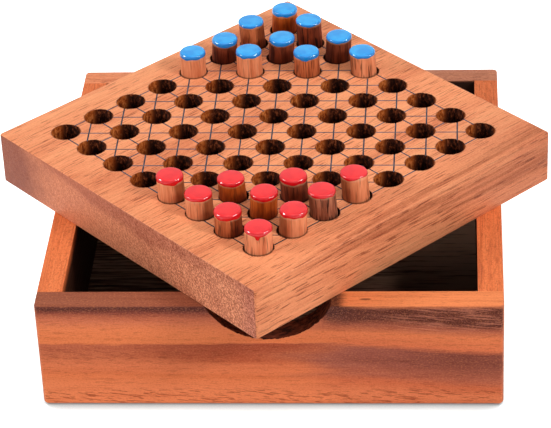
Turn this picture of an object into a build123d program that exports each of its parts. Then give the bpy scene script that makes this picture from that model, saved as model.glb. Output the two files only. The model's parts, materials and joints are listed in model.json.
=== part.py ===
import os
from build123d import *

# Halma travel game: an open wooden box with a drilled playing board laid across its rim.
# Millimetres. The origin is the centre of the box's underside, X runs along the front
# wall, Y towards the back wall and Z up. At rest the board lies turned on the rim.

# Box
box_width = 145.0         # outside, along X
box_depth = 144.0         # outside, along Y
wall = 8.0                # all four walls
bottom_thickness = 5.0
rebate = 3.0              # how far the bottom panel reaches into each wall
well_depth = 15.0         # peg store between the bottom panel and the seated board
corner_round = 1.5        # outside upright corners and round the foot
rim_edge = 0.6            # eased outside edge of the rim

# Finger notch in the front wall
notch_width = 39.0        # across the mouth, at the rim
notch_depth = 12.4

# Ledges that the board drops onto when it closes the box
ledge_width = 5.0

# Playing board
board_thickness = 18.0
board_clearance = 0.35    # all round, when the board is dropped into the box
board_turn = 44.7         # degrees, as it lies across the rim
board_shift_x = -1.75     # where its centre lies on the rim
board_shift_y = 0.45
board_edge = 0.5          # eased edges
holes_a_side = 8
hole_margin = 15.7        # from the board's side to the nearest hole centres
hole_shift_u = 0.6        # the drilled field lies a little off the board's centre
hole_shift_v = 0.8
hole_radius = 4.75
hole_floor = 8.0          # wood left under each hole

# Pegs
camp_rows = 4             # diagonal rows of pegs in each player's corner
peg_clearance = 0.35      # all round, in the hole
peg_stand = 8.6           # nominal height above the board

# The dowels are cut by hand, so each stands a little lower or higher than the nominal.
red_trims = (-0.4, -0.6, -0.5, -0.1, -0.2, -0.1, -1.2, 0.5, -0.3, 0.8)
blue_trims = (-0.1, 0.3, -0.5, -0.1, -0.2, 0.7, -0.1, 0.3, 1.1, 0.2)

# Derived sizes
box_height = bottom_thickness + well_depth + board_thickness
inside_width = box_width - 2 * wall
inside_depth = box_depth - 2 * wall
panel_width = inside_width + 2 * rebate
panel_depth = inside_depth + 2 * rebate
board_side = min(inside_width, inside_depth) - 2 * board_clearance
hole_pitch = (board_side - 2 * hole_margin) / (holes_a_side - 1)
hole_depth = board_thickness - hole_floor
peg_radius = hole_radius - peg_clearance
notch_radius = (notch_width**2 / 4 + notch_depth**2) / (2 * notch_depth)

board_foot = Plane(
    origin=(board_shift_x, board_shift_y, box_height),
    x_dir=Vector(1, 0, 0).rotate(Axis.Z, board_turn),
    z_dir=(0, 0, 1),
)
board_top = board_foot.offset(board_thickness)
peg_seat = board_foot.offset(hole_floor)


def save(piece, name):
    """Label a finished piece and write it to its own file."""
    piece.part.label = name
    export_step(piece.part, f"parts/{name}.step")


def end_wall(outward, notched):
    """A full-width wall with a stopped rebate for the bottom panel."""
    wall_y = outward.direction.Y * (box_depth - wall) / 2
    with BuildPart() as piece:
        with BuildSketch():
            with Locations((0, wall_y)):
                Rectangle(box_width, wall)
        extrude(amount=box_height)
        uprights = piece.faces().sort_by(outward)[-1].edges().filter_by(Axis.Z)
        foot = piece.faces().sort_by(Axis.Z)[0].edges().sort_by(outward)[1:]
        fillet(uprights + foot, corner_round)
        rim = piece.faces().sort_by(Axis.Z)[-1].edges().sort_by(outward)[1:]
        chamfer(rim, rim_edge)
        with BuildSketch():
            Rectangle(panel_width, panel_depth)
        extrude(amount=bottom_thickness, mode=Mode.SUBTRACT)
        if notched:
            with BuildSketch(Plane.XZ):
                with Locations((0, box_height - notch_depth + notch_radius)):
                    Circle(notch_radius)
            extrude(amount=box_depth, mode=Mode.SUBTRACT)
    return piece


def side_wall(outward):
    """A wall butted between the end walls, its rebate running out at both ends."""
    wall_x = outward.direction.X * (box_width - wall) / 2
    with BuildPart() as piece:
        with BuildSketch(Plane.XZ):
            with Locations((wall_x, box_height / 2)):
                Rectangle(wall, box_height)
            with Locations((0, bottom_thickness / 2)):
                Rectangle(panel_width, bottom_thickness, mode=Mode.SUBTRACT)
        extrude(amount=inside_depth / 2, both=True)
        foot = piece.faces().sort_by(outward)[-1].edges().sort_by(Axis.Z)[0]
        fillet(foot, corner_round)
        rim = piece.faces().sort_by(outward)[-1].edges().sort_by(Axis.Z)[-1]
        chamfer(rim, rim_edge)
    return piece


def ledge(outward):
    """A strip standing on the bottom panel against an end wall."""
    ledge_y = outward.direction.Y * (inside_depth - ledge_width) / 2
    with BuildPart() as piece:
        with BuildSketch(Plane.XY.offset(bottom_thickness)):
            with Locations((0, ledge_y)):
                Rectangle(inside_width, ledge_width)
        extrude(amount=well_depth)
    return piece


def peg(column, row, trim):
    """A dowel standing on the floor of one hole."""
    middle = (holes_a_side - 1) / 2
    peg_u = (column - middle) * hole_pitch + hole_shift_u
    peg_v = (row - middle) * hole_pitch + hole_shift_v
    with BuildPart() as piece:
        with BuildSketch(peg_seat):
            with Locations((peg_u, peg_v)):
                Circle(peg_radius)
        extrude(amount=hole_depth + peg_stand + trim)
    return piece


os.makedirs("parts", exist_ok=True)

# Box walls: front and back run the full width, the sides stand between them
save(end_wall(-Axis.Y, notched=True), "front_wall")
save(end_wall(Axis.Y, notched=False), "back_wall")
save(side_wall(-Axis.X), "left_wall")
save(side_wall(Axis.X), "right_wall")

# Ledges that carry the board's front and back when it closes the box
save(ledge(-Axis.Y), "front_ledge")
save(ledge(Axis.Y), "back_ledge")

# Bottom panel, let into the rebates of all four walls
with BuildPart() as bottom_panel:
    with BuildSketch():
        Rectangle(panel_width, panel_depth)
    extrude(amount=bottom_thickness)
save(bottom_panel, "bottom_panel")

# Playing board, drilled with a square field of blind holes
with BuildPart() as board:
    with BuildSketch(board_foot):
        Rectangle(board_side, board_side)
    extrude(amount=board_thickness)
    chamfer(board.edges(), board_edge)
    with BuildSketch(board_top):
        with Locations((hole_shift_u, hole_shift_v)):
            with GridLocations(hole_pitch, hole_pitch, holes_a_side, holes_a_side):
                Circle(hole_radius)
    extrude(amount=-hole_depth, mode=Mode.SUBTRACT)
save(board, "board")

# Pegs, set out for the start of play in two opposite corners of the field
field = [(column, row) for column in range(holes_a_side) for row in range(holes_a_side)]
red_camp = [hole for hole in field if sum(hole) < camp_rows]
blue_camp = [hole for hole in field if sum(hole) > 2 * (holes_a_side - 1) - camp_rows]
for colour, camp, trims in (("red", red_camp, red_trims), ("blue", blue_camp, blue_trims)):
    for number, hole in enumerate(camp):
        save(peg(*hole, trims[number % len(trims)]), f"{colour}_peg_{number + 1}")
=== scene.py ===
import json
import math
import random

import bmesh
import bpy
from mathutils import Matrix, Vector, noise


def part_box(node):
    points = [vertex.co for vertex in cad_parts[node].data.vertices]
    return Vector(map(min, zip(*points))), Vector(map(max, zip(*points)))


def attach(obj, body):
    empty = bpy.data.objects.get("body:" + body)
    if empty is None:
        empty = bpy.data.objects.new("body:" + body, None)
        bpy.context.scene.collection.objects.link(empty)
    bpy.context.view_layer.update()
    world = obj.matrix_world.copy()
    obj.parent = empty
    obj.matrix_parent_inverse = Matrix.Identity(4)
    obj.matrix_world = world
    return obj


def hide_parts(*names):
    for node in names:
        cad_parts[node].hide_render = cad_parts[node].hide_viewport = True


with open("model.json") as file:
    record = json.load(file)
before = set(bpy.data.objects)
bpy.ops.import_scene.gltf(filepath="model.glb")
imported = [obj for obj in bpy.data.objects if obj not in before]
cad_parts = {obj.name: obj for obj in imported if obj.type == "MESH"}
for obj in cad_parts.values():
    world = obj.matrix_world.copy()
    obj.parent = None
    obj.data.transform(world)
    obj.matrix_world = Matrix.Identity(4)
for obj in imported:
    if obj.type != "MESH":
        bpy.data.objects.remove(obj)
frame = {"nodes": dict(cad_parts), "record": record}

# Halma travel game: a wooden box, a drilled board turned across its rim and painted pegs.
# Lengths are written in millimetres and placed in metres, in the frame's own axes.

MM = 0.001
X = Vector((1, 0, 0))
Y = Vector((0, 1, 0))
UP = Vector((0, 0, 1))
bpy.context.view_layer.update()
scene = bpy.context.scene


# Sizes read from the frame

def node_box(name):
    """A node's lowest and highest corners in millimetres."""
    low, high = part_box(name)
    return low / MM, high / MM


def node_middle(name):
    """The middle of a node seen from above, in millimetres."""
    low, high = node_box(name)
    return Vector(((low.x + high.x) / 2, (low.y + high.y) / 2, 0))


box_low, _ = node_box("front_wall")
_, box_high = node_box("back_wall")
board_low, board_high = node_box("board")
panel_low, panel_high = node_box("bottom_panel")
holes_a_side = 8
camp_rows = 4                      # diagonal rows of pegs in each player's corner
first_hole = node_middle("red_peg_1")
along_row = (node_middle("red_peg_10") - first_hole) / (camp_rows - 1)
along_column = (node_middle("red_peg_4") - first_hole) / (camp_rows - 1)
board_u = along_row.normalized()
board_v = along_column.normalized()
board_turn = math.atan2(board_u.y, board_u.x)
board_thickness = board_high.z - board_low.z
board_centre = (board_low + board_high) / 2
eased_edge = 0.5                   # of the solid board, which shortens it from tip to tip
tip_to_tip = board_high.x - board_low.x + 2 * eased_edge * min(board_u.x, board_u.y)
board_side = tip_to_tip / (board_u.x + abs(board_v.x))
peg_low, peg_high = node_box("red_peg_1")
peg_radius = (peg_high.x - peg_low.x) / 2
hole_floor = peg_low.z
hole_radius = next(m for m in frame["record"]["mounts"] if m["kind"] == "bore")["dims"]["r_mm"]


def on_board(point):
    """A point of the frame in the board's own axes: along the grain, across it, above its foot."""
    offset = point - board_centre
    return Vector((offset.dot(board_u), offset.dot(board_v), point.z - board_low.z))


hole_start = on_board(first_hole)
hole_pitch = along_row.length
board_holes = [
    on_board(first_hole + column * along_row + row * along_column)
    for column in range(holes_a_side)
    for row in range(holes_a_side)]
board_foot = Vector((board_centre.x, board_centre.y, board_low.z))
board_place = Matrix.Translation(board_foot) @ Matrix.Rotation(board_turn, 4, "Z")


# Shader graph

def srgb(red, green, blue):
    """The linear colour that displays as these 8-bit values."""
    def linear(value):
        value /= 255
        return value / 12.92 if value <= 0.04045 else ((value + 0.055) / 1.055) ** 2.4
    return (linear(red), linear(green), linear(blue), 1.0)


class Graph:
    """Short calls that add nodes to a shader tree and feed their sockets."""

    def __init__(self, tree):
        self.tree = tree

    def feed(self, socket, value):
        """Link a socket to another, or set its value."""
        if isinstance(value, bpy.types.NodeSocket):
            self.tree.links.new(value, socket)
        else:
            socket.default_value = value

    def shader(self, kind, *values):
        """Add a node, feed its first sockets in their order and return its first output."""
        node = self.tree.nodes.new("ShaderNode" + kind)
        for socket, value in zip(node.inputs, values):
            self.feed(socket, value)
        return node.outputs[0]

    def math(self, operation, *values):
        node = self.tree.nodes.new("ShaderNodeMath")
        node.operation = operation
        for socket, value in zip(node.inputs, values):
            self.feed(socket, value)
        return node.outputs[0]

    def times(self, first, *others):
        for other in others:
            first = self.math("MULTIPLY", first, other)
        return first

    def plus(self, first, second):
        return self.math("ADD", first, second)

    def minus(self, first, second):
        return self.math("SUBTRACT", first, second)

    def times_plus(self, first, second, third):
        """The first times the second, plus the third."""
        return self.math("MULTIPLY_ADD", first, second, third)

    def distance(self, first, second):
        """How far a point lies from the origin, from its two coordinates."""
        return self.math("SQRT", self.plus(self.times(first, first), self.times(second, second)))

    def vector(self, operation, first, second):
        """A vector sum, product or dot product."""
        node = self.tree.nodes.new("ShaderNodeVectorMath")
        node.operation = operation
        self.feed(node.inputs[0], first)
        self.feed(node.inputs[1], second)
        return node.outputs["Value" if operation == "DOT_PRODUCT" else "Vector"]

    def mix(self, factor, first, second, blend="MIX"):
        node = self.tree.nodes.new("ShaderNodeMix")
        node.data_type = "RGBA"
        node.blend_type = blend
        self.feed(node.inputs["Factor"], factor)
        self.feed(node.inputs[6], first)
        self.feed(node.inputs[7], second)
        return node.outputs[2]

    def darken(self, factor, colour, tint):
        """A colour multiplied by a tint as far as the factor says."""
        return self.mix(factor, colour, (*tint, 1), "MULTIPLY")

    def step(self, value, low, high, to_low=0.0, to_high=1.0, form="SMOOTHSTEP"):
        """A rise from one value to another as the input goes from low to high."""
        node = self.tree.nodes.new("ShaderNodeMapRange")
        node.interpolation_type = form
        for name, given in (("Value", value), ("From Min", low), ("From Max", high),
                            ("To Min", to_low), ("To Max", to_high)):
            self.feed(node.inputs[name], given)
        return node.outputs[0]

    def between(self, value, low, high, soft_low, soft_high):
        """1 between two values, with ends as soft as asked."""
        return self.times(self.step(value, low - soft_low, low + soft_low),
                         self.step(value, high - soft_high, high + soft_high, 1.0, 0.0))

    def ramp(self, value, *rows):
        """A colour ramp through rows of a position and three 8-bit values."""
        node = self.tree.nodes.new("ShaderNodeValToRGB")
        elements = node.color_ramp.elements
        while len(elements) < len(rows):
            elements.new(1.0)
        for element, (position, *tone) in zip(elements, rows):
            element.position = position
            element.color = srgb(*tone)
        self.feed(node.inputs[0], value)
        return node.outputs[0]

    def noise(self, vector, scale=1.0, detail=2.0, roughness=0.5):
        node = self.tree.nodes.new("ShaderNodeTexNoise")
        self.feed(node.inputs["Vector"], vector)
        node.inputs["Scale"].default_value = scale
        node.inputs["Detail"].default_value = detail
        node.inputs["Roughness"].default_value = roughness
        return node.outputs[0]

    def drawn(self, vector, along, across, detail=2.0, roughness=0.5):
        """Noise drawn out along the grain, by its cells per millimetre along and across it."""
        cells = self.vector("MULTIPLY", vector, (along, across, across))
        return self.noise(cells, 1.0, detail, roughness)

    def swayed(self, value, noise, size):
        """A value pushed to and fro by a noise."""
        return self.times_plus(self.minus(noise, 0.5), size, value)

    def joined(self, *parts):
        """A vector joined from its three parts."""
        return self.shader("CombineXYZ", *parts)


class Coat(Graph):
    """A material with a Principled surface, fed from a piece's own axes."""

    def __init__(self, name):
        self.material = bpy.data.materials.new(name)
        self.material.use_nodes = True
        super().__init__(self.material.node_tree)
        self.surface = self.tree.nodes["Principled BSDF"]

    def set(self, name, value):
        self.feed(self.surface.inputs[name], value)

    def paint(self, colour, roughness, specular):
        self.set("Base Color", colour)
        self.set("Roughness", roughness)
        self.set("Specular IOR Level", specular)

    def axes(self, grain, across, origin):
        """Object coordinates in millimetres along the grain, across it and square to both."""
        node = self.tree.nodes.new("ShaderNodeTexCoord")
        self.normal = node.outputs["Normal"]
        offset = self.vector("SUBTRACT", node.outputs["Object"], tuple(origin * MM))
        ways = grain, across, grain.cross(across)
        parts = [self.vector("DOT_PRODUCT", offset, tuple(way / MM)) for way in ways]
        self.end_grain = self.math("ABSOLUTE", self.facing(grain))
        self.along, self.across, self.through = parts
        self.place = self.joined(*parts)
        return self.place

    def seeded(self, seed):
        """The place moved far off, so that each piece has its own stretch of noise."""
        return self.vector("ADD", self.place, (seed * 37.1, seed * 11.3, seed * 5.7))

    def facing(self, way):
        """How far the surface faces a direction, from -1 to 1."""
        return self.vector("DOT_PRODUCT", self.normal, tuple(way))

    def bump(self, height, strength, depth):
        node = self.tree.nodes.new("ShaderNodeBump")
        node.inputs["Strength"].default_value = strength
        node.inputs["Distance"].default_value = depth * MM
        self.feed(node.inputs["Height"], height)
        self.set("Normal", node.outputs[0])


# Wood

PORE = (0.42, 0.28, 0.24)
DARK_DOT = (0.70, 0.58, 0.52)


def wood(name, grain, across, origin, tones, end_tones, seed, rings=(30.0, -60.0), pores=0.6,
         pore_cells=0.30, streaks=0.5, figure=None, end_figure=None, last=None):
    """Hardwood with growth zones, fibre, streaks, open pores and a finely dotted end grain.

    tones run from light to dark, and end_tones from the dark dots to the light ones. rings is
    the middle of the growth rings across and through the plank. figure and end_figure repaint
    the long grain and the end grain from the piece's own axes, and last repaints both.
    """
    coat = Coat(name)
    coat.axes(grain, across, origin)
    seeded = coat.seeded(seed)
    zone, fine = growth(coat, seeded, seed, rings)
    fibre = coat.drawn(seeded, 0.05, 1.5, 4.0, 0.6)
    patch = coat.drawn(seeded, 0.02, 0.06)
    tone = coat.times_plus(fine, 0.22, coat.times(zone, 0.55))
    tone = coat.times_plus(fibre, 0.28, tone)
    tone = coat.times_plus(patch, 0.25, tone)
    spread = 0.36 / (len(tones) - 1)
    colour = coat.ramp(tone, *[(0.42 + spread * i, *tones[i]) for i in range(len(tones))])
    vein = coat.drawn(seeded, 0.02, 1.0, 4.0, 0.7)
    colour = coat.darken(coat.step(vein, 0.53, 0.68, 0.0, streaks), colour, (0.62, 0.50, 0.44))
    if figure:
        colour = figure(coat, seeded, colour)

    cells = coat.drawn(seeded, pore_cells, 1.9, 1.0)
    open_zone = coat.step(coat.times_plus(patch, 0.5, zone), 0.58, 0.82, 0.25, pores)
    pore = coat.times(coat.step(cells, 0.58, 0.68), open_zone)
    colour = coat.darken(pore, colour, PORE)
    flecks = coat.drawn(seeded, 1.5, 2.6)
    colour = coat.mix(coat.step(flecks, 0.50, 0.70, 0.0, 0.18), colour, srgb(*tones[0]))
    colour = coat.darken(coat.step(flecks, 0.32, 0.48, 0.30, 0.0), colour, DARK_DOT)

    end = dotted_end(coat, seed, zone, end_tones)
    if end_figure:
        end = end_figure(coat, seeded, end)
    colour = coat.mix(coat.step(coat.end_grain, 0.6, 0.9), colour, end)
    if last:
        colour = last(coat, seeded, colour)
    coat.paint(colour, coat.step(fibre, 0.3, 0.7, 0.44, 0.60), 0.1)
    coat.bump(coat.times_plus(pore, -1.0, coat.times(fibre, 0.35)), 0.35, 0.12)
    return coat.material


def growth(coat, seeded, seed, rings):
    """Broad and fine growth rings, as two noises over the distance from the tree's middle."""
    reach = coat.distance(coat.minus(coat.across, rings[0]), coat.minus(coat.through, rings[1]))
    ring = coat.swayed(reach, coat.drawn(seeded, 0.012, 0.05, 3.0), 16.0)
    ring = coat.plus(ring, seed * 23.0)
    return coat.drawn(ring, 0.09, 0.09, 3.0), coat.drawn(ring, 0.9, 0.9)


def dotted_end(coat, seed, zone, end_tones):
    """Fine dots drawn out a little along the rays, which lie at 30 degrees to the plank's thickness."""
    ray = coat.times_plus(coat.through, 0.87, coat.times(coat.across, 0.5))
    beside = coat.times_plus(coat.through, -0.5, coat.times(coat.across, 0.87))
    dots = coat.drawn(coat.joined(ray, beside, seed * 9.1), 1.7, 3.8, 2.0, 0.7)
    end = coat.ramp(dots, (0.40, *end_tones[0]), (0.52, *end_tones[1]), (0.64, *end_tones[2]))
    return coat.darken(coat.step(zone, 0.50, 0.66, 0.0, 0.4), end, (0.66, 0.54, 0.54))


# Figure of the front wall

# Its colours from the foot to the rim, as shares of its height, left and right of the notch.
LEFT_BANDS = (
    (0.00, 240, 138, 88), (0.18, 234, 132, 84), (0.30, 224, 120, 72), (0.40, 218, 118, 76),
    (0.52, 192, 102, 68), (0.615, 180, 92, 64), (0.63, 226, 124, 74), (0.76, 228, 126, 78),
    (0.86, 200, 108, 76), (0.93, 122, 56, 46), (0.965, 58, 20, 26), (1.0, 70, 28, 32))
RIGHT_BANDS = (
    (0.00, 226, 128, 82), (0.16, 224, 124, 80), (0.26, 204, 102, 64), (0.33, 176, 94, 70),
    (0.46, 152, 82, 68), (0.58, 150, 80, 66), (0.63, 218, 114, 72), (0.74, 222, 120, 74),
    (0.82, 162, 84, 62), (0.88, 62, 21, 22), (0.96, 68, 25, 24), (1.0, 226, 128, 80))


def front_figure(coat, seeded, colour):
    """The front wall's zones: brown and orange bands, a purple edge under the rim and a dark knot."""
    wander = coat.drawn(seeded, 0.02, 0.22, 3.0)
    grit = coat.drawn(seeded, 0.15, 1.1, 4.0, 0.7)
    streak = coat.drawn(seeded, 0.02, 0.7, 3.0)
    sloping = coat.vector("ADD", seeded, coat.vector("MULTIPLY", coat.along, (0.0, 0.12, 0.0)))
    height = coat.plus(coat.across, box_high.z / 2)
    where = coat.swayed(coat.along, wander, 40.0)
    reach = coat.swayed(coat.along, grit, 6.0)
    level = coat.swayed(coat.swayed(height, wander, 2.4), grit, 1.8)
    sink = coat.step(coat.along, 22.0, 72.0, 0.0, 3.0)
    level = coat.plus(level, coat.times(sink, coat.step(level, 30.0, 36.5, 1.0, 0.0)))

    share = coat.math("DIVIDE", level, box_high.z)
    left = coat.ramp(share, *LEFT_BANDS)
    right = coat.ramp(share, *RIGHT_BANDS)
    zones = coat.mix(coat.step(where, 4.0, 26.0), left, right)
    zones = front_heart(coat, zones, where, level, reach)
    zones = coat.darken(coat.step(streak, 0.50, 0.66, 0.0, 0.4), zones, (0.84, 0.72, 0.66))
    zones = front_pores(coat, zones, seeded, sloping, height)
    zones = front_right_end(coat, zones, sloping, height, where, level)
    top = coat.step(coat.facing(UP), 0.5, 0.9)
    zones = coat.mix(coat.times(top, 0.9), zones, front_rim(coat, where, reach, streak))
    dim = coat.times(coat.step(where, 34.0, 60.0), coat.between(level, 15.0, 23.0, 4.0, 1.0))
    zones = coat.darken(dim, zones, (0.64, 0.58, 0.60))
    return coat.mix(0.93, colour, zones)


def front_heart(coat, zones, where, level, reach):
    """The browner heart of the lower band, and the near-black knot right of the notch."""
    heart = coat.times(
        coat.between(where, -38.0, 6.0, 18.0, 14.0), coat.between(level, 16.5, 23.4, 3.0, 0.3),
        coat.step(where, -50.0, -5.0, 0.55, 0.95))
    zones = coat.darken(heart, zones, (0.68, 0.46, 0.40))
    knot = coat.times(coat.between(reach, 17.5, 27.0, 1.5, 8.0), coat.step(level, 30.0, 35.0), 0.95)
    return coat.mix(knot, zones, srgb(44, 20, 26))


def front_pores(coat, zones, seeded, sloping, height):
    """Dark dots and painted glints of light all over, and short dark dashes along the foot and the heart
    band.
    """
    dot = coat.noise(seeded, 3.0, 2.0, 0.7)
    zones = coat.darken(coat.step(dot, 0.36, 0.47, 0.3, 0.0), zones, DARK_DOT)
    # Painted sheen: small light glints on the upper bands.
    painted_glints = coat.times(coat.step(dot, 0.54, 0.66), coat.step(height, 25.0, 34.0, 0.07, 0.2))
    zones = coat.mix(painted_glints, zones, srgb(208, 142, 124))
    dash = coat.drawn(sloping, 0.28, 2.2, 1.0)
    heart = coat.step(coat.along, -35.0, 0.0, 0.4, 0.1)
    heart = coat.times(coat.between(height, 16.0, 22.0, 1.5, 1.5), heart)
    places = coat.plus(coat.step(height, 5.0, 7.5, 0.75, 0.0), heart)
    return coat.darken(coat.times(coat.step(dash, 0.55, 0.64), places), zones, PORE)


def front_right_end(coat, zones, sloping, height, where, level):
    """Cloudy figure in the right half's dark band, and light and dark whiskers under its rim."""
    swirl = coat.drawn(sloping, 0.07, 0.3, 3.0, 0.6)
    swirl = coat.times(
        coat.step(swirl, 0.46, 0.62, 0.0, 0.5), coat.step(where, 0.0, 25.0),
        coat.between(level, 11.0, 23.0, 3.0, 1.0))
    zones = coat.darken(swirl, zones, (0.74, 0.66, 0.68))
    whisker = coat.drawn(sloping, 0.10, 2.0, 3.0, 0.6)
    under_rim = coat.times(coat.between(height, 28.5, 37.5, 2.5, 0.5), coat.step(coat.along, 24.0, 52.0))
    lit = coat.times(under_rim, coat.step(whisker, 0.48, 0.60, 0.0, 0.45))
    zones = coat.mix(lit, zones, srgb(206, 128, 102))
    shaded = coat.times(under_rim, coat.step(whisker, 0.36, 0.46, 0.5, 0.0))
    return coat.darken(shaded, zones, (0.56, 0.46, 0.46))


def front_rim(coat, where, reach, streak):
    """The rim: brown on the left, orange on the right, near-black by the notch, with one small eye."""
    rim = coat.mix(coat.step(where, -20.0, 22.0), srgb(146, 82, 60), srgb(234, 136, 82))
    rim = coat.darken(coat.step(streak, 0.40, 0.62, 0.0, 0.8), rim, (0.80, 0.72, 0.70))
    by_notch = coat.times(coat.step(reach, 21.0, 25.0, 0.95, 0.0), coat.step(coat.along, 0.0, 1.0))
    rim = coat.mix(by_notch, rim, srgb(34, 18, 16))
    eye = coat.vector("SUBTRACT", coat.place, (30.0, 0.0, 68.2))
    eye = coat.vector("MULTIPLY", eye, (0.55, 0.0, 2.0))
    eye = coat.vector("DOT_PRODUCT", eye, eye)
    return coat.mix(coat.step(eye, 0.4, 1.4, 0.8, 0.0), rim, srgb(52, 24, 18))


# Figure of the playing board

def board_figure(coat, seeded, colour):
    """The streaked front margin of the board, the dark band that runs out of its right corner, and a
    darker left margin that is partly painted shadow of the red pegs.
    """
    wander = coat.drawn(seeded, 0.02, 0.15, 3.0)
    lines = coat.drawn(seeded, 0.018, 0.9, 4.0, 0.65)
    # Partly grain and partly painted shadow: darker streaks at the left margin, where the red pegs'
    # shadow falls.
    left = coat.times(
        coat.step(coat.along, -64.0, -50.0, 0.45, 0.0), coat.step(lines, 0.36, 0.58, 0.4, 1.0),
        coat.step(coat.across, -15.0, 35.0, 1.0, 0.0))
    colour = coat.darken(left, colour, (0.66, 0.50, 0.42))
    corner = coat.times(
        coat.step(coat.along, 0.0, 60.0), coat.step(coat.across, -62.0, -22.0, 1.0, 0.0))
    colour = coat.darken(corner, colour, (0.78, 0.72, 0.74))
    margin = coat.times(
        coat.step(coat.across, -64.0, -48.0, 0.45, 0.0), coat.step(lines, 0.38, 0.60, 0.35, 1.0),
        coat.step(coat.along, -70.0, 0.0, 0.3, 1.0))
    colour = coat.darken(margin, colour, (0.72, 0.62, 0.58))
    reach = coat.distance(coat.minus(coat.across, 20.0), coat.plus(coat.through, 40.0))
    reach = coat.swayed(coat.times_plus(coat.along, 0.045, reach), wander, 3.0)
    band = coat.times(
        coat.between(reach, 93.8, 98.0, 0.35, 3.0), coat.step(lines, 0.40, 0.58, 0.35, 1.0),
        coat.step(coat.along, -45.0, -5.0, 0.2, 0.75))
    colour = coat.darken(band, colour, (0.58, 0.48, 0.44))
    return coat.mix(hole_fuzz(coat), colour, srgb(112, 56, 34))


def hole_fuzz(coat):
    """Where torn fibres stand round the drilled holes, from 0 to 1."""
    offsets = []
    field = []
    half = hole_pitch / 2
    for value, first in ((coat.along, hole_start.x), (coat.across, hole_start.y)):
        offsets.append(coat.math("WRAP", coat.minus(value, first), half, -half))
        end = first + (holes_a_side - 0.5) * hole_pitch
        field.append(coat.between(value, first - half, end, 0.1, 0.1))
    bristle = coat.noise(coat.vector("MULTIPLY", coat.place, (2.0, 2.0, 0.0)), 1.0, 3.0, 0.7)
    reach = coat.swayed(coat.distance(*offsets), bristle, -1.6)
    torn = coat.step(reach, hole_radius - 0.1, hole_radius + 0.4, 0.9, 0.0)
    return coat.times(*field, torn)


def board_end_figure(coat, seeded, end):
    """Growth rings across the board's end grain, purple along its top edge and at both ends."""
    wander = coat.drawn(seeded, 0.1, 0.06, 3.0)
    side = coat.plus(coat.across, 15.0)
    bow = coat.times_plus(coat.times(side, side), -0.0016, coat.through)
    upper = coat.step(coat.swayed(bow, wander, 7.0), 1.5, 5.0)
    upper = coat.times(upper, coat.step(coat.across, -42.0, -26.0, 0.3, 0.62))
    end = coat.mix(coat.step(coat.across, -45.0, 30.0, 0.0, 0.6), end, srgb(212, 128, 92))
    end = coat.darken(upper, end, (0.60, 0.44, 0.48))
    near = coat.step(coat.swayed(coat.across, wander, 8.0), -62.0, -52.0, 0.9, 0.0)
    end = coat.darken(near, end, (0.80, 0.72, 0.84))
    far = coat.step(coat.swayed(coat.across, wander, 30.0), 34.0, 54.0, 0.0, 0.9)
    return coat.darken(far, end, (0.42, 0.34, 0.40))


# Figure of the other walls, and the painted shade inside

def side_figure(coat, seeded, colour):
    """Fine dark specks along the side walls."""
    specks = coat.drawn(seeded, 1.2, 1.8)
    return coat.mix(coat.step(specks, 0.50, 0.64, 0.0, 0.5), colour, srgb(190, 90, 52))


def back_figure(coat, seeded, colour):
    """The back wall turns purple-brown towards its right end."""
    wander = coat.drawn(seeded, 0.03, 0.3, 3.0)
    where = coat.swayed(coat.along, wander, 50.0)
    return coat.mix(coat.step(where, 10.0, 45.0, 0.0, 0.75), colour, srgb(172, 112, 88))


def shaded_inside(outward, lit_reach=0.8):
    """Painted shade on a wall's inner face, for the dark inside the box, fading out for some millimetres
    below the lit rim.
    """
    def inside_shade(coat, seeded, colour):
        patchy = coat.drawn(seeded, 0.15, 0.5, 3.0)
        height = coat.swayed(coat.across, patchy, 0.6 * lit_reach)
        inner = coat.step(coat.facing(-outward), 0.5, 0.9)
        shade_cover = coat.step(height, box_high.z / 2 - lit_reach, box_high.z / 2, 0.97, 0.1)
        # Painted shade: the box's dark inside, which gives way to the wood's own colour just below the
        # rim.
        return coat.mix(coat.times(inner, shade_cover), colour, srgb(40, 25, 19))
    return inside_shade


# Woods, from their light tones to their dark ones

OILED = ((249, 177, 128), (245, 165, 116), (238, 151, 105), (217, 127, 86))
ORANGE = ((244, 150, 94), (236, 134, 80), (222, 116, 66), (180, 88, 54))
PALE = ((250, 178, 132), (244, 160, 114), (232, 142, 98), (200, 112, 76))
BOX_ENDS = ((140, 74, 52), (186, 104, 72), (220, 138, 98))
BOARD_ENDS = ((146, 78, 54), (212, 128, 92), (244, 170, 130))
middle = Vector((0, 0, box_high.z / 2))
coats = {
    "board": wood("board_oiled_wood", board_u, board_v, board_centre, OILED, BOARD_ENDS, 1.0,
                  rings=(20.0, -40.0), pores=0.85, pore_cells=0.13, streaks=0.28,
                  figure=board_figure, end_figure=board_end_figure),
    "front_wall": wood("front_wall_wood", X, UP, middle, ORANGE, BOX_ENDS, 2.0, pores=0.3,
                       figure=front_figure, last=shaded_inside(-Y)),
    "back_wall": wood("back_wall_wood", X, UP, middle, PALE, BOX_ENDS, 3.0,
                      figure=back_figure, last=shaded_inside(Y)),
    "left_wall": wood("left_wall_wood", Y, UP, middle, ORANGE, BOX_ENDS, 4.0, pores=0.35,
                      figure=side_figure, last=shaded_inside(-X, 5.0)),
    "right_wall": wood("right_wall_wood", Y, UP, middle, ORANGE, BOX_ENDS, 5.0, pores=0.35,
                       figure=side_figure, last=shaded_inside(X)),
}


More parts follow.
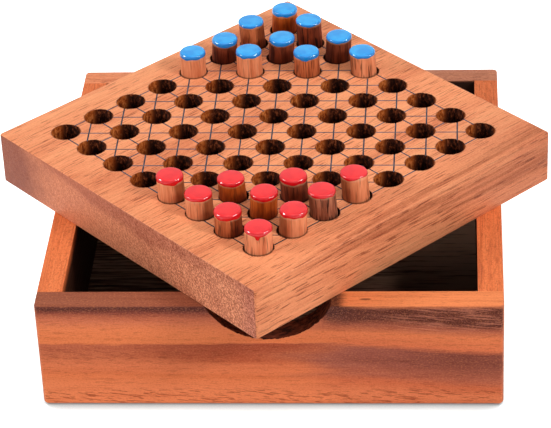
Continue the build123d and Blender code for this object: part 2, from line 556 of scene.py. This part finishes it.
def stained_wood(name, seed):
    """The floor of the box: dark stain, with the grain showing through in grey-brown streaks, painted
    light towards the right and painted shade in front.
    """
    coat = Coat(name)
    coat.axes(X, Y, middle)
    seeded = coat.seeded(seed)
    streak = coat.drawn(seeded, 0.045, 0.8, 4.0, 0.7)
    tone = coat.swayed(streak, coat.drawn(seeded, 0.02, 0.05), 0.35)
    # Painted light: lighter towards the right, where light reaches in beside the board.
    tone = coat.plus(tone, coat.step(coat.along, -10.0, 50.0, 0.03, 0.18))
    colour = coat.ramp(
        tone, (0.36, 62, 37, 27), (0.50, 136, 92, 68), (0.66, 226, 182, 150))
    # Painted shade: much darker in front and towards the right, under the board.
    front = coat.step(coat.across, -16.0, 16.0, 0.95, 0.0)
    front = coat.times(front, coat.step(coat.along, -30.0, 20.0, 0.6, 1.0))
    coat.paint(coat.darken(front, colour, (0.12, 0.08, 0.07)), 0.75, 0.08)
    coat.bump(streak, 0.4, 0.15)
    return coat.material


TORN_TURN = math.radians(22.0)     # how far the torn, shaded side of a hole lies off the board's grain
HOLE_SHADE = (0.12, 0.07, 0.05)
UNDER_PEG = (0.20, 0.16, 0.14)     # a hole that a peg stands in gets no light


def drilled_wood():
    """A drilled hole: smooth and brown along the grain, torn and dark across it, with painted shade
    deeper down and in the holes that pegs stand in.
    """
    coat = Coat("drilled_wood")
    place = coat.axes(board_u, board_v, board_centre)
    fibre = coat.noise(coat.vector("MULTIPLY", place, (1.0, 1.0, 0.6)), 1.0, 4.0, 0.65)
    smooth = coat.ramp(
        fibre, (0.35, 108, 42, 12), (0.50, 172, 82, 30), (0.68, 222, 132, 66))
    torn = coat.ramp(
        fibre, (0.42, 32, 13, 7), (0.55, 72, 31, 16), (0.70, 150, 78, 44))
    # The torn side's dark is partly end grain and partly painted shade: it is turned to where the holes
    # lie in shadow.
    torn_way = Matrix.Rotation(TORN_TURN, 3, "Z") @ board_u
    edge = coat.swayed(coat.math("ABSOLUTE", coat.facing(torn_way)), fibre, 0.7)
    colour = coat.mix(coat.step(edge, 0.52, 0.84), smooth, torn)
    top = board_thickness / 2
    # Painted shade: darker deeper down the hole.
    deep = coat.step(coat.swayed(coat.through, fibre, 3.0), top - 7.0, top - 1.0, 0.95, 0.0)
    colour = coat.darken(deep, colour, HOLE_SHADE)
    steps = coat.minus(coat.plus(coat.along, coat.across), hole_start.x + hole_start.y)
    steps = coat.math("DIVIDE", steps, hole_pitch)
    last = 2 * (holes_a_side - 1)
    empty = coat.between(steps, camp_rows - 0.5, last - camp_rows + 0.5, 0.1, 0.1)
    coat.paint(coat.mix(empty, coat.darken(1.0, colour, UNDER_PEG), colour), 0.8, 0.05)
    coat.bump(fibre, 0.6, 0.25)
    return coat.material


def burnt_wood():
    """The finger notch, darkened as painted shade, for it lies in the shadow under the board."""
    coat = Coat("burnt_wood")
    notch_grain = coat.drawn(coat.axes(X, UP, middle), 0.25, 0.9, 3.0, 0.7)
    # Painted shade: near-black brown for the notch under the board.
    notch_shade = coat.ramp(notch_grain, (0.38, 40, 17, 9), (0.55, 92, 40, 22), (0.72, 112, 58, 38))
    coat.paint(notch_shade, 0.8, 0.1)
    coat.bump(notch_grain, 0.5, 0.2)
    return coat.material


def line_ink():
    """Grey-blue paint lying in the grooves, blacker towards the front corner."""
    coat = Coat("groove_paint")
    wear = coat.noise(coat.axes(board_u, board_v, board_centre), scale=0.35, detail=4.0)
    ink = coat.ramp(wear, (0.35, 62, 64, 74), (0.65, 104, 104, 116))
    front = coat.step(coat.plus(coat.along, coat.across), -90.0, -35.0, 0.9, 0.0)
    coat.paint(coat.mix(front, ink, srgb(34, 32, 32)), 0.75, 0.15)
    return coat.material


coats["panel"] = stained_wood("panel_stained_wood", 7.0)
coats["ledge"] = stained_wood("ledge_stained_wood", 8.0)
coats["hole"] = drilled_wood()
coats["notch"] = burnt_wood()
coats["groove"] = line_ink()


def enamel(name, colour, deep):
    """Thick glossy enamel, a little uneven and darker where it is thin, with painted shade on its sides
    below the top.
    """
    coat = Coat(name)
    place = coat.axes(X, Y, Vector((0, 0, 0)))
    swell = coat.noise(place, scale=0.22, detail=1.0)
    orange_peel = coat.noise(place, scale=1.6, detail=2.0)
    tone = coat.mix(coat.step(swell, 0.35, 0.65), colour, deep)
    # Painted shade: the coat's sides are darker than its top, which faces the light.
    lit_top = coat.step(coat.facing(UP), 0.6, 0.985)
    coat.paint(coat.mix(lit_top, coat.darken(1.0, deep, (0.82, 0.70, 0.80)), tone), 0.10, 0.45)
    coat.bump(coat.times_plus(swell, 1.0, coat.times(orange_peel, 0.15)), 0.25, 0.3)
    return coat.material


enamels = {
    "red": enamel("red_enamel", srgb(244, 26, 32), srgb(232, 14, 28)),
    "blue": enamel("blue_enamel", srgb(40, 171, 242), srgb(20, 152, 232)),
}


# A dowel's light and dark tones, how strong its dark dashes are, and how much painted shade
# darkens it towards its foot.
DOWEL_WOODS = {
    "pale": ((240, 158, 114), (212, 122, 80), 0.25, 0.25),
    "marked": ((240, 158, 114), (212, 122, 80), 0.75, 0.25),
    "flecked": ((242, 160, 116), (208, 116, 76), 0.45, 0.2),
    "tan": ((236, 150, 106), (204, 114, 72), 0.4, 0.35),
    "streaked": ((216, 122, 76), (162, 80, 44), 0.6, 0.6),
    "warm": ((202, 96, 34), (138, 54, 8), 0.3, 0.95),
    "brown": ((142, 68, 42), (74, 28, 14), 0.5, 0.7),
    "veined": ((152, 64, 34), (36, 13, 8), 1.0, 0.5),
    "grey": ((184, 116, 86), (120, 62, 42), 0.95, 0.3),
}
BURNT_STREAK = srgb(52, 24, 16)
# Painted shade on a peg's shaded side.
SHADED_SIDE = (0.30, 0.18, 0.09)
# Painted shade towards a peg's foot, by the board.
SHADED_FOOT = (0.46, 0.34, 0.26)
MOUTH_SHADE = (0.10, 0.06, 0.04)    # painted shade on the little that shows of the dowel inside the hole's mouth


def dowel_wood(node, wood_name, side, bare):
    """Turned wood with grain up its length, with painted shade on one side, towards its foot and at the
    hole's mouth.

    side is where the painted shaded side begins, in radii right of the middle: a positive one darkens to
    the right of it and a negative one to the left. bare is the height where the paint ends.
    """
    light, dark, streak, foot = DOWEL_WOODS[wood_name]
    centre = node_middle(node)
    coat = Coat(node + "_wood")
    place = coat.axes(UP, X, centre)
    seeded = coat.vector("ADD", place, tuple(0.37 * centre))
    flow = coat.drawn(seeded, 0.06, 0.45, 3.0)
    fibre = coat.drawn(seeded, 0.12, 1.5, 3.0, 0.6)
    tone = coat.times_plus(fibre, 0.45, coat.times(flow, 0.55))
    colour = coat.ramp(tone, (0.38, *light), (0.62, *dark))
    dashes = coat.drawn(seeded, 0.14, 1.6, 1.0)
    colour = coat.mix(coat.step(dashes, 0.55, 0.65, 0.0, streak), colour, BURNT_STREAK)
    # Painted shade: one side of the peg darker, as if a neighbour blocked the light.
    if side:
        turned = coat.swayed(coat.across, flow, peg_radius)
        turned = coat.times(turned, math.copysign(1.0, side))
        edge = abs(side) * peg_radius
        colour = coat.darken(coat.step(turned, edge - 1.2, edge + 0.8, 0.0, 0.85), colour, SHADED_SIDE)
    low = board_high.z
    # Painted shade: darker towards the foot, near the board.
    colour = coat.darken(coat.step(coat.along, low - 1.0, low + 7.0, foot, 0.0), colour, SHADED_FOOT)
    fuzz = coat.step(coat.swayed(coat.along, fibre, 1.0), bare - 0.9, bare + 0.1, 0.0, 0.35)
    colour = coat.mix(fuzz, colour, srgb(246, 190, 150))
    # Painted shade: a dark ring where the dowel goes into the hole.
    mouth = coat.times(coat.between(coat.along, low - 0.5, low + 0.1, 0.25, 0.25), 0.6)
    coat.paint(coat.darken(mouth, colour, MOUTH_SHADE), coat.step(fibre, 0.3, 0.7, 0.5, 0.65), 0.08)
    coat.bump(fibre, 0.4, 0.15)
    return coat.material


# Meshes

def new_object(name, build, *materials):
    """Link a mesh in millimetres, filled by a function that is given an empty bmesh."""
    mesh = bpy.data.meshes.new(name)
    form = bmesh.new()
    build(form)
    bmesh.ops.recalc_face_normals(form, faces=form.faces)
    form.to_mesh(mesh)
    form.free()
    for material in materials:
        mesh.materials.append(material)
    made = bpy.data.objects.new(name, mesh)
    scene.collection.objects.link(made)
    return made


def block(form, low, high):
    """Add a box between two corners and return its edges."""
    made = bmesh.ops.create_cube(form, size=1.0)
    bmesh.ops.scale(form, vec=high - low, verts=made["verts"])
    bmesh.ops.translate(form, vec=(high + low) / 2, verts=made["verts"])
    return list({edge for vertex in made["verts"] for edge in vertex.link_edges})


def give_look(form, number):
    """Give every face the material of that number."""
    for face in form.faces:
        face.material_index = number


def round_edges(form, chosen, radius, segments):
    bmesh.ops.bevel(form, geom=chosen, offset=radius, offset_type="OFFSET", segments=segments,
                    profile=0.5, affect="EDGES", clamp_overlap=True)


def spans(edge, axis):
    """How far an edge runs along an axis."""
    return abs(edge.verts[0].co[axis] - edge.verts[1].co[axis])


def lathe(form, rings, sides, place):
    """Add a closed turned form from (height, radius) rings, each point where place puts it."""
    angles = [2 * math.pi * i / sides for i in range(sides)]
    loops = [[form.verts.new(place(*ring, angle)) for angle in angles] for ring in rings]
    for lower, upper in zip(loops, loops[1:]):
        for i in range(sides):
            after = (i + 1) % sides
            form.faces.new((lower[i], lower[after], upper[after], upper[i]))
    form.faces.new(reversed(loops[0]))
    form.faces.new(loops[-1])


def cut(piece, cutters, crossing=False):
    """Subtract each cutter from a piece, keeping the cutter's own material on the cut faces."""
    for cutter in cutters:
        modifier = piece.modifiers.new("cut", "BOOLEAN")
        modifier.operation = "DIFFERENCE"
        modifier.solver = "EXACT"
        modifier.material_mode = "INDEX"
        modifier.use_self = crossing
        modifier.object = cutter
        bpy.context.view_layer.update()
        graph = bpy.context.evaluated_depsgraph_get()
        result = bpy.data.meshes.new_from_object(piece.evaluated_get(graph), depsgraph=graph)
        piece.modifiers.clear()
        old = piece.data
        piece.data = result
        bpy.data.meshes.remove(old)
    for cutter in cutters:
        bpy.data.objects.remove(cutter)


def set_down(piece, body, node=None, crease=35.0, place=Matrix.Identity(4)):
    """Place a piece in metres, shade it smooth up to a crease angle and hand it to a body."""
    mesh = piece.data
    mesh.transform(Matrix.Scale(MM, 4) @ place)
    mesh.polygons.foreach_set("use_smooth", [True] * len(mesh.polygons))
    mesh.set_sharp_from_angle(angle=math.radians(crease))
    if node:
        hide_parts(node)
    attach(piece, body)


def jitter(point, size, scale):
    """A steady unevenness of a surface point."""
    return size * noise.noise(point * scale)


# Playing board

BOARD_CORNER = 1.0         # rounding of its upright corners
BOARD_EDGE = 0.45          # rounding of its level edges
HOLE_SIDES = 44
RIM_DEPTH = 1.1            # how deep the ragged rim of a hole reaches
GROOVE_HALF = 0.2875       # half a groove's width where its cutter ends, just above the board
GROOVE_DEPTH = 0.34
GROOVE_PROUD = 0.05
LINE_PITCH = 14.19         # the lines were ruled from the board's middle, wider than the holes
LINE_CENTRE = Vector((0.14, 0.22, 0))


def board_blank(form):
    half = board_side / 2
    edges = block(form, Vector((-half, -half, 0)), Vector((half, half, board_thickness)))
    uprights = [e for e in edges if spans(e, 2) > board_thickness / 2]
    round_edges(form, uprights, BOARD_CORNER, 4)
    level = [e for e in form.edges if e.calc_face_angle(0.0) > 1.0 and e not in uprights]
    round_edges(form, [e for e in level if spans(e, 2) < 0.01], BOARD_EDGE, 3)


def hole_cutter(form):
    """All the drill holes, each a little ragged where the drill went in."""
    rim = board_thickness - RIM_DEPTH
    heights = (hole_floor - board_low.z, rim, board_thickness, board_thickness + 0.5)
    for spot in board_holes:
        def place(height, radius, angle):
            ragged = max(0.0, height - rim) / RIM_DEPTH
            way = Vector((math.cos(angle), math.sin(angle), 0))
            there = Vector((spot.x, spot.y, 0)) + way * radius
            radius += ragged * (0.06 + jitter(there, 0.16, 1.3) + jitter(there, 0.10, 4.1))
            return Vector((spot.x, spot.y, height)) + way * radius
        lathe(form, [(height, hole_radius) for height in heights], HOLE_SIDES, place)
    give_look(form, 1)


def groove(form, start, end):
    """One V groove between two points of the board's top."""
    run = (end - start).normalized()
    side = Vector((-run.y, run.x, 0)) * GROOVE_HALF
    rows = []
    for point in (start, end):
        top = Vector((point.x, point.y, board_thickness + GROOVE_PROUD))
        foot = Vector((point.x, point.y, board_thickness - GROOVE_DEPTH))
        rows.append([form.verts.new(top - side), form.verts.new(foot), form.verts.new(top + side)])
    for i in range(3):
        form.faces.new((rows[0][i], rows[0][(i + 1) % 3], rows[1][(i + 1) % 3], rows[1][i]))
    form.faces.new(reversed(rows[0]))
    form.faces.new(rows[1])


def board_lines():
    """The lines along rows, columns and both diagonals, as pairs of crossings on the border."""
    last = holes_a_side - 1
    for i in range(holes_a_side):
        yield (0, i), (last, i)
        yield (i, 0), (i, last)
    for total in range(1, 2 * last):
        low = max(0, total - last)
        high = min(last, total)
        yield (low, total - low), (high, total - high)
        yield (low, last - total + low), (high, last - total + high)


def crossing(column, row):
    """Where two of the ruled lines cross, in the board's own axes."""
    half = (holes_a_side - 1) / 2
    return LINE_CENTRE + Vector((column - half, row - half, 0)) * LINE_PITCH


def groove_cutter(form):
    for start, end in board_lines():
        groove(form, crossing(*start), crossing(*end))
    give_look(form, 2)


def make_board():
    looks = coats["board"], coats["hole"], coats["groove"]
    board = new_object("playing_board", board_blank, *looks)
    drill = new_object("drill", hole_cutter, *looks)
    lines = new_object("grooves", groove_cutter, *looks)
    cut(board, [drill, lines], crossing=True)
    set_down(board, "board", "board", place=board_place)


# Box walls

CORNER_ROUND = 1.5
RIM_ROUND = 0.5
NOTCH_SIDES = 240
NOTCH_TEAR = 0.35          # how far the cutter tore the wood at the notch's outer edge
TEAR_START = -0.3          # the tear fades inwards from just before the wall's front
TEAR_LENGTH = 1.2
NOTCH_STARTS = -2.0        # the cutter reaches from before the wall to inside the box
NOTCH_ENDS = 13.0
NOTCH_BOX_GAP = 0.2        # how far above the notch's arc the record's boxes start


def wall_blank(node):
    """Builds a wall with rounded outer corners and foot, an eased rim and crisp inner edges."""
    low, high = node_box(node)
    centre = (low + high) / 2
    outward = Vector((centre.x, centre.y, 0)).normalized()
    full_width = high.x - low.x > high.y - low.y
    half_wall = min(high.x - low.x, high.y - low.y) / 2

    def out(edge):
        """How far the ends of an edge lie outward of the wall's middle, lowest first."""
        return sorted((v.co - centre).dot(outward) for v in edge.verts)

    def soft(edge):
        """An outer upright corner, the outer foot or the foot of an end."""
        foot = all(v.co.z < centre.z for v in edge.verts)
        upright = spans(edge, 2) > 1
        if out(edge)[0] > 0 and (foot or (upright and full_width)):
            return True
        return full_width and foot and not upright and spans(edge, 0) < 1

    def on_rim(edge):
        """A level edge along the wall's top, on its outer side or across a full-width wall's end."""
        level = all(abs(v.co.z - high.z) < 0.01 for v in edge.verts)
        if not level or edge.calc_face_angle(0.0) < 0.5:
            return False
        inner = out(edge)[1] < 0.1 - half_wall
        return not inner and (full_width or spans(edge, 1) >= 1)

    def build(form):
        edges = block(form, low, high)
        round_edges(form, [e for e in edges if soft(e)], CORNER_ROUND, 5)
        round_edges(form, [e for e in form.edges if on_rim(e)], RIM_ROUND, 3)
    return build


def panel_cutter():
    return new_object("panel_cut", lambda form: block(form, panel_low - UP, panel_high))


def notch_arc():
    """The centre height and radius of the notch's arc, through corners of the record's notch boxes."""
    openings = frame["record"]["physics"]["openings"]
    boxes = [o["box_m"] for o in openings if o["name"].startswith("finger_notch")]
    corners = [(high[0] / MM, low[2] / MM - NOTCH_BOX_GAP) for low, high in boxes]
    (x1, z1), (x2, z2) = corners[0], corners[-1]
    centre_z = (x1 ** 2 - x2 ** 2 + z1 ** 2 - z2 ** 2) / (2 * (z1 - z2))
    return centre_z, math.hypot(x1, z1 - centre_z)


def notch_cutter():
    """The drum whose arc is the finger notch, torn at the wall's front."""
    centre_z, radius = notch_arc()

    def place(depth, reach, angle):
        torn = NOTCH_TEAR * max(0.0, 1 - (depth - TEAR_START) / TEAR_LENGTH)
        way = Vector((math.cos(angle), 0, math.sin(angle)))
        rim = way * reach
        reach += torn * (jitter(rim, 1.0, 0.9) + jitter(rim, 0.8, 2.6))
        return way.x * reach, box_low.y + depth, centre_z + way.z * reach

    def build(form):
        depths = NOTCH_STARTS, TEAR_START, TEAR_START + TEAR_LENGTH, NOTCH_ENDS
        lathe(form, [(depth, radius) for depth in depths], NOTCH_SIDES, place)
        give_look(form, 1)
    return new_object("notch_cut", build, coats["front_wall"], coats["notch"])


def make_wall(node):
    """A wall with its rebate for the bottom panel, and the notch in the front one."""
    looks = [coats[node]]
    cutters = [panel_cutter()]
    if node == "front_wall":
        looks.append(coats["notch"])
        cutters.append(notch_cutter())
    wall = new_object(node + "_board", wall_blank(node), *looks)
    cut(wall, cutters)
    set_down(wall, "box", node, crease=25.0)


# Pegs

PAINT_SKIN = 0.10
PAINT_ROUND = 0.9          # rounding of the coat's upper rim
PAINT_DOME = 0.12          # how far the coat rises to its middle
DOWEL_SIDES = 40
PAINT_SIDES = 90
FULL_LEAN = 0.77           # the lean that takes up the room in the hole
LEAN_ROOM = 0.3            # how far a fully leaning peg lies off the middle at the hole's mouth

# Each peg's wood, where its painted shaded side begins, how far it leans to the right and how deep its
# end was dipped in paint, in order of its number.
PEGS = {
    "red": (
        ("flecked", 0.0, 0.2, 1.35), ("streaked", 0.2, -0.2, 1.75), ("pale", 0.25, -0.4, 1.45),
        ("pale", 0.3, -0.5, 1.75), ("pale", -0.2, 0.77, 1.6), ("warm", 0.0, 0.75, 1.55),
        ("warm", 0.0, -0.77, 1.35), ("grey", -0.75, -0.7, 1.2), ("brown", 0.0, -0.4, 1.75),
        ("tan", -0.5, -0.77, 1.25)),
    "blue": (
        ("pale", 0.0, 0.1, 1.55), ("pale", 0.0, -0.25, 1.35), ("brown", 0.0, 0.6, 1.6),
        ("streaked", 0.0, -0.2, 1.6), ("brown", 0.0, 0.77, 1.6), ("streaked", 0.3, -0.75, 1.0),
        ("marked", -0.85, -0.77, 1.15), ("brown", -0.6, 0.75, 1.15), ("veined", 0.0, -0.3, 0.95),
        ("warm", 0.0, 0.6, 1.6)),
}

# Drips that run down from the paint, and a bare chip that rises into it: the direction in which
# each lies, in degrees, its length and its half width.
PAINT_RUNS = {
    "red_peg_1": (-90.0, -1.15, 8.0),
    "blue_peg_4": (-97.0, -0.45, 16.0),
    "red_peg_10": (-42.0, 0.55, 34.0),
}


def peg_shape(node, lean):
    """A peg's place in its hole as a function of height, radius and angle, and its foot and top."""
    low, high = node_box(node)
    centre = node_middle(node)

    def place(height, radius, angle):
        share = (height - hole_floor) / (board_high.z - hole_floor)
        shift = lean / FULL_LEAN * LEAN_ROOM * (2 * share - 1)
        way = Vector((math.cos(angle), math.sin(angle), 0))
        wobble = 1 + jitter(centre + way * 2 + Vector((0, 0, height * 0.1)), 0.012, 0.5)
        return Vector((centre.x + shift, centre.y, height)) + way * radius * wobble
    return place, low.z, high.z


def make_dowel(node, wood_name, side, lean, depth):
    """A dowel with a chamfered foot, a shank that fits its hole and a neck inside the paint."""
    place, foot, top = peg_shape(node, lean)
    neck = peg_radius - PAINT_SKIN - 0.03
    rings = [
        (foot, peg_radius - 0.45), (foot + 0.4, peg_radius - 0.07),
        (board_high.z, peg_radius - 0.05), (board_high.z + 2.0, peg_radius - 0.09),
        (top - depth - 0.6, neck), (top - 0.75, neck), (top - 0.45, neck - 0.25)]
    look = dowel_wood(node, wood_name, side, top - depth)
    dowel = new_object(node + "_dowel", lambda form: lathe(form, rings, DOWEL_SIDES, place), look)
    set_down(dowel, node, node, crease=50.0)


def make_paint(node, colour, lean, depth, edge):
    """The coat of enamel on a peg's end: a rounded rim, a slight dome and an uneven lower edge."""
    place, _, top = peg_shape(node, lean)
    skin = peg_radius - 0.04
    curve = min(PAINT_ROUND, depth - 0.35)
    flat = skin - curve
    lower = top - depth
    turns = [math.pi / 2 * i / 6 for i in range(7)]
    rings = [
        (lower + 0.25, skin - 0.45), (lower, skin - 0.10), (lower + 0.06, skin), (lower + 0.25, skin)]
    for turn in turns:
        height = top - PAINT_DOME - curve * (1 - math.sin(turn))
        rings.append((height, skin - curve * (1 - math.cos(turn))))
    rings += [(top - PAINT_DOME * (radius / flat) ** 2, radius) for radius in (2.6, 1.7, 0.8, 0.15)]

    def ragged(height, radius, angle):
        shift = edge(angle)
        if shift > 0:
            return place(top - (top - height) * (1 - shift / depth), radius, angle)
        return place(height + shift * max(0.0, 1 - (height - lower) / 0.5), radius, angle)

    def build(form):
        lathe(form, rings, PAINT_SIDES, ragged)
    paint = new_object(node + "_paint", build, enamels[colour])
    set_down(paint, node, crease=60.0)


def paint_edge(node, number):
    """How far the lower edge of a peg's paint rises or sinks round the peg."""
    dice = random.Random(number)
    waves = [(count, dice.uniform(0.03, 0.14), dice.uniform(0, 2 * math.pi)) for count in (1, 2, 3, 5, 8)]

    def edge(angle):
        sag = sum(size * math.sin(count * angle + phase) for count, size, phase in waves) - 0.1
        if node in PAINT_RUNS:
            way, length, half_width = PAINT_RUNS[node]
            off = angle - math.radians(way)
            off = math.degrees(math.atan2(math.sin(off), math.cos(off)))
            sag += length / (1 + (off / half_width) ** 6)
        return sag
    return edge


def make_pegs():
    for offset, (colour, pegs) in enumerate(PEGS.items()):
        for number, (wood_name, side, lean, depth) in enumerate(pegs, start=1):
            node = f"{colour}_peg_{number}"
            make_dowel(node, wood_name, side, lean, depth)
            make_paint(node, colour, lean, depth, paint_edge(node, number + 20 * offset))


# Pieces that keep their CAD shape

def dress(node, coat):
    made = frame["nodes"][node]
    made.data.materials.clear()
    made.data.materials.append(coat)


# Stage

# The camera that took the photograph, fitted to the hole field and the corners.
PHOTO_WIDTH = 551                  # pixels
FOCAL_LENGTH = 2637.1              # pixels
CAMERA_PLACE = Vector((57.138, -731.375, 504.234))
CAMERA_PITCH = math.radians(33.165)
CAMERA_YAW = math.radians(-4.618)
CAMERA_ROLL = math.radians(-2.752)
SENSOR = 36.0

WHITE = (1, 1, 1, 1)
FILL_LIGHT = 0.42                  # the world's strength
SHADOW_REACH = 9.0                 # how far the contact shadow spreads over the floor
SHADOW_DEPTH = 0.26                # what the darkest of it keeps of the floor's white
SIDE_THINNING = 0.75               # how much of it goes left and right of the box


def make_camera():
    pitch, yaw, roll = CAMERA_PITCH, CAMERA_YAW, CAMERA_ROLL
    forward = Vector((math.sin(yaw) * math.cos(pitch), math.cos(yaw) * math.cos(pitch), -math.sin(pitch)))
    right = Vector((math.cos(yaw), -math.sin(yaw), 0))
    up = right.cross(forward)
    turned_right = math.cos(roll) * right + math.sin(roll) * up
    turned_up = -math.sin(roll) * right + math.cos(roll) * up
    data = bpy.data.cameras.new("photo_view")
    data.sensor_fit = "HORIZONTAL"
    data.sensor_width = SENSOR
    data.lens = FOCAL_LENGTH / PHOTO_WIDTH * SENSOR
    data.clip_start = 0.01
    data.clip_end = 50.0
    camera = bpy.data.objects.new("photo_view", data)
    turn = Matrix((turned_right, turned_up, -forward)).transposed().to_4x4()
    camera.matrix_world = Matrix.Translation(CAMERA_PLACE * MM) @ turn
    scene.collection.objects.link(camera)
    scene.camera = camera


def softbox(name, azimuth, elevation, power, size=0.16, distance=0.9, only_gloss=False):
    """An area lamp aimed at the board. The azimuth is counted from the front, to the right."""
    target = Vector((0, 0, board_high.z * MM))
    a, e = math.radians(azimuth), math.radians(elevation)
    way = Vector((math.sin(a) * math.cos(e), -math.cos(a) * math.cos(e), math.sin(e)))
    data = bpy.data.lights.new(name, "AREA")
    data.shape = "SQUARE"
    data.size = size
    data.energy = power
    lamp = bpy.data.objects.new(name, data)
    lamp.location = target + way * distance
    lamp.rotation_euler = (-way).to_track_quat("-Z", "Y").to_euler()
    lamp.visible_diffuse = not only_gloss
    scene.collection.objects.link(lamp)


def seen_white(graph):
    """A factor that is 1 for the rays that see the background: camera, glossy and transmission."""
    rays = graph.tree.nodes.new("ShaderNodeLightPath").outputs
    seen = graph.math("MAXIMUM", rays["Is Camera Ray"], rays["Is Glossy Ray"])
    return graph.math("MAXIMUM", seen, rays["Is Transmission Ray"])


def beside_box(graph):
    """How much the contact shadow thins out left and right of the box."""
    place = graph.tree.nodes.new("ShaderNodeTexCoord").outputs["Object"]
    reach = graph.math("ABSOLUTE", graph.shader("SeparateXYZ", place))
    ends = (box_high.x - 1.5) * MM, (box_high.x + 1.5) * MM
    return graph.step(reach, *ends, 0.0, SIDE_THINNING, "LINEAR")


def make_floor():
    """A pale floor that shows white to the camera where it is lit, and keeps the contact shadow."""
    def build(form):
        bmesh.ops.create_grid(form, x_segments=8, y_segments=8, size=6000.0)

    material = bpy.data.materials.new("pale_floor")
    material.use_nodes = True
    graph = Graph(material.node_tree)
    graph.tree.nodes.clear()
    contact = graph.tree.nodes.new("ShaderNodeAmbientOcclusion")
    contact.samples = 16
    contact.inputs["Distance"].default_value = SHADOW_REACH * MM
    deep = graph.step(contact.outputs["AO"], 0.46, 1.0, SHADOW_DEPTH, 1.0, "LINEAR")
    shade = graph.mix(beside_box(graph), deep, WHITE)
    cool = graph.darken(1.0, shade, (0.93, 1.0, 1.0))
    glow = graph.shader("Emission", cool, 0.8)
    white = graph.shader("AddShader", graph.shader("BsdfDiffuse", cool), glow)
    plain = graph.shader("BsdfDiffuse", (0.8, 0.8, 0.8, 1))
    output = graph.tree.nodes.new("ShaderNodeOutputMaterial")
    graph.feed(output.inputs[0], graph.shader("MixShader", seen_white(graph), plain, white))
    floor = new_object("floor", build, material)
    floor.data.transform(Matrix.Scale(MM, 4))
    floor.location.z = -0.02 * MM


def make_world():
    """An even pale fill that the camera and reflections see as white."""
    world = bpy.data.worlds.new("studio")
    world.use_nodes = True
    scene.world = world
    graph = Graph(world.node_tree)
    nodes = graph.tree.nodes
    fill = nodes["Background"]
    fill.inputs["Color"].default_value = WHITE
    fill.inputs["Strength"].default_value = FILL_LIGHT
    white = graph.shader("Background", WHITE, 1.0)
    choice = graph.shader("MixShader", seen_white(graph), fill.outputs[0], white)
    graph.feed(nodes["World Output"].inputs[0], choice)


scene.view_settings.view_transform = "Standard"
make_camera()
make_world()
make_floor()
softbox("left_softbox", azimuth=-73.0, elevation=27.0, power=3.5)
softbox("right_softbox", azimuth=58.0, elevation=39.0, power=4.0)
softbox("top_softbox", azimuth=20.0, elevation=78.0, power=2.6, size=0.8, distance=1.1)
softbox("left_catchlight", azimuth=-84.0, elevation=28.0, power=7.0, size=0.2, only_gloss=True)
softbox("right_catchlight", azimuth=78.0, elevation=32.0, power=6.5, size=0.2, only_gloss=True)

make_board()
for wall_node in ("front_wall", "back_wall", "left_wall", "right_wall"):
    make_wall(wall_node)
make_pegs()
dress("bottom_panel", coats["panel"])
dress("front_ledge", coats["ledge"])
dress("back_ledge", coats["ledge"])
